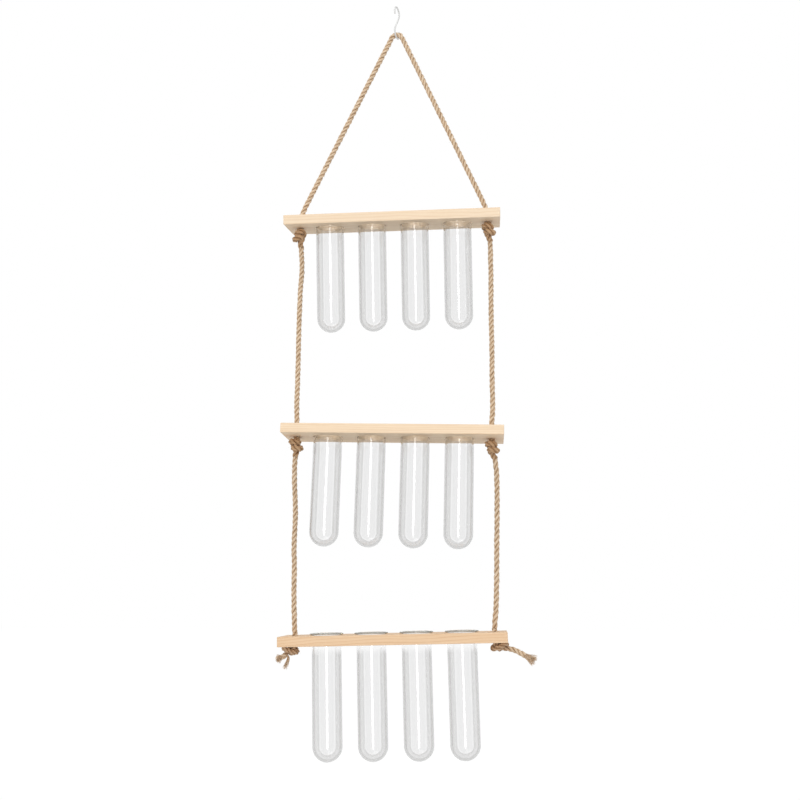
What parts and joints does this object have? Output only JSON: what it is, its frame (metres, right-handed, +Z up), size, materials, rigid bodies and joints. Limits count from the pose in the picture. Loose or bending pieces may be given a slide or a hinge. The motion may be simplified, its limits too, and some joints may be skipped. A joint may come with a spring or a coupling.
{
  "type": "hanging test tube vase",
  "caption": "Hanging bud vase: wooden boards on one knotted rope under an S-hook, each carrying a row of glass test tubes that hang by their lips.",
  "frame": {"origin": "the point inside the S-hook's upper bend that bears on whatever the vase hangs from", "axes": "+Z up, +X along the boards to the viewer's right, +Y away from the viewer"},
  "size_m": [0.2665, 0.055, 0.8032],
  "materials": {
    "pine": "bare sanded pine",
    "jute": "three-strand jute rope",
    "tube_glass": "clear glass",
    "coated_wire": "white coated wire"
  },
  "bodies": {
    "hook": {"hanging_hook": "coated_wire"},
    "sling": {"upper_rope": "jute"},
    "top_shelf": {"top_board": "pine"},
    "top_knots": {"top_left_knot": "jute", "top_right_knot": "jute"},
    "middle_left_side": {"middle_left_rope": "jute"},
    "middle_right_side": {"middle_right_rope": "jute"},
    "middle_leads": {"middle_left_lead": "jute", "middle_right_lead": "jute"},
    "middle_shelf": {"middle_board": "pine"},
    "bottom_left_side": {"bottom_left_rope": "jute"},
    "bottom_right_side": {"bottom_right_rope": "jute"},
    "bottom_leads": {"bottom_left_lead": "jute", "bottom_right_lead": "jute"},
    "bottom_shelf": {"bottom_board": "pine", "bottom_left_knot": "jute", "bottom_right_knot": "jute", "bottom_left_tail": "jute", "bottom_right_tail": "jute"},
    "middle_knots": {"middle_left_knot": "jute", "middle_right_knot": "jute"},
    "top_tube_1": {"top_tube_1": "tube_glass"},
    "top_tube_2": {"top_tube_2": "tube_glass"},
    "top_tube_3": {"top_tube_3": "tube_glass"},
    "top_tube_4": {"top_tube_4": "tube_glass"},
    "middle_tube_1": {"middle_tube_1": "tube_glass"},
    "middle_tube_2": {"middle_tube_2": "tube_glass"},
    "middle_tube_3": {"middle_tube_3": "tube_glass"},
    "middle_tube_4": {"middle_tube_4": "tube_glass"},
    "bottom_tube_1": {"bottom_tube_1": "tube_glass"},
    "bottom_tube_2": {"bottom_tube_2": "tube_glass"},
    "bottom_tube_3": {"bottom_tube_3": "tube_glass"},
    "bottom_tube_4": {"bottom_tube_4": "tube_glass"}
  },
  "joints": [
    {"name": "sling_sway", "type": "hinge", "parent": "hook", "child": "sling", "pos_m": [0, 0, -0.0353], "axis": [0, 1, 0], "range_deg": [-8, 8]},
    {"name": "top_board_tip", "type": "hinge", "parent": "sling", "child": "top_shelf", "pos_m": [-0.0046, 0, -0.24485], "axis": [1, -0.0005, 0.0043], "range_deg": [-18.3, 5.7]},
    {"name": "middle_swing", "type": "hinge", "parent": "sling", "child": "top_knots", "pos_m": [-0.0046, 0, -0.24745], "axis": [1, -0.0005, 0.0043], "range_deg": [-10, 10]},
    {"name": "middle_left_sway", "type": "hinge", "parent": "top_knots", "child": "middle_left_side", "pos_m": [-0.1056, 0.00005, -0.27391], "axis": [0, 1, 0], "range_deg": [-7, 7]},
    {"name": "middle_right_sway", "type": "hinge", "parent": "top_knots", "child": "middle_right_side", "pos_m": [0.0964, -0.00005, -0.27304], "axis": [0, 1, 0], "range_deg": [-7, 7]},
    {"name": "middle_level", "type": "hinge", "parent": "middle_left_side", "child": "middle_leads", "pos_m": [-0.10557, 0.00018, -0.46032], "axis": [0, 1, 0], "range_deg": [-7, 7]},
    {"name": "middle_board_tip", "type": "hinge", "parent": "middle_leads", "child": "middle_shelf", "pos_m": [-0.0046, 0, -0.47365], "axis": [0.9997, -0.0018, -0.0226], "range_deg": [-7.5, 16.5]},
    {"name": "bottom_swing", "type": "hinge", "parent": "middle_leads", "child": "middle_knots", "pos_m": [-0.0046, 0, -0.47625], "axis": [0.9997, -0.0018, -0.0226], "range_deg": [-10, 10]},
    {"name": "bottom_left_sway", "type": "hinge", "parent": "middle_knots", "child": "bottom_left_side", "pos_m": [-0.10557, 0.00018, -0.49959], "axis": [0, 1, 0], "range_deg": [-7, 7]},
    {"name": "bottom_right_sway", "type": "hinge", "parent": "middle_knots", "child": "bottom_right_side", "pos_m": [0.09637, -0.00018, -0.50416], "axis": [0, 1, 0], "range_deg": [-7, 7]},
    {"name": "bottom_level", "type": "hinge", "parent": "bottom_left_side", "child": "bottom_leads", "pos_m": [-0.10557, -0.00011, -0.67327], "axis": [0, 1, 0], "range_deg": [-7, 7]},
    {"name": "bottom_board_tip", "type": "hinge", "parent": "bottom_leads", "child": "bottom_shelf", "pos_m": [-0.0046, 0, -0.68185], "axis": [0.9997, 0.0011, 0.0244], "range_deg": [-9.5, 14.5]},
    {"name": "top_tube_1_lift", "type": "slide", "parent": "top_shelf", "child": "top_tube_1", "axis": [-0.0044, -0.1097, 0.994], "range_m": [0, 0.02]},
    {"name": "top_tube_2_lift", "type": "slide", "parent": "top_shelf", "child": "top_tube_2", "axis": [-0.0044, -0.1097, 0.994], "range_m": [0, 0.1]},
    {"name": "top_tube_3_lift", "type": "slide", "parent": "top_shelf", "child": "top_tube_3", "axis": [-0.0044, -0.1097, 0.994], "range_m": [0, 0.1]},
    {"name": "top_tube_4_lift", "type": "slide", "parent": "top_shelf", "child": "top_tube_4", "axis": [-0.0044, -0.1097, 0.994], "range_m": [0, 0.02]},
    {"name": "middle_tube_1_lift", "type": "slide", "parent": "middle_shelf", "child": "middle_tube_1", "axis": [0.0227, 0.0784, 0.9967], "range_m": [0, 0.09]},
    {"name": "middle_tube_2_lift", "type": "slide", "parent": "middle_shelf", "child": "middle_tube_2", "axis": [0.0227, 0.0784, 0.9967], "range_m": [0, 0.09]},
    {"name": "middle_tube_3_lift", "type": "slide", "parent": "middle_shelf", "child": "middle_tube_3", "axis": [0.0227, 0.0784, 0.9967], "range_m": [0, 0.09]},
    {"name": "middle_tube_4_lift", "type": "slide", "parent": "middle_shelf", "child": "middle_tube_4", "axis": [0.0227, 0.0784, 0.9967], "range_m": [0, 0.09]},
    {"name": "bottom_tube_1_lift", "type": "slide", "parent": "bottom_shelf", "child": "bottom_tube_1", "axis": [-0.0244, 0.0436, 0.9987], "range_m": [0, 0.07]},
    {"name": "bottom_tube_2_lift", "type": "slide", "parent": "bottom_shelf", "child": "bottom_tube_2", "axis": [-0.0244, 0.0436, 0.9987], "range_m": [0, 0.07]},
    {"name": "bottom_tube_3_lift", "type": "slide", "parent": "bottom_shelf", "child": "bottom_tube_3", "axis": [-0.0244, 0.0436, 0.9987], "range_m": [0, 0.07]},
    {"name": "bottom_tube_4_lift", "type": "slide", "parent": "bottom_shelf", "child": "bottom_tube_4", "axis": [-0.0244, 0.0436, 0.9987], "range_m": [0, 0.07]}
  ],
  "couplings": [
    {"joint": "middle_right_sway", "follows": "middle_left_sway", "ratio": 1},
    {"joint": "middle_level", "follows": "middle_left_sway", "ratio": -1},
    {"joint": "bottom_right_sway", "follows": "bottom_left_sway", "ratio": 1},
    {"joint": "bottom_level", "follows": "bottom_left_sway", "ratio": -1}
  ]
}
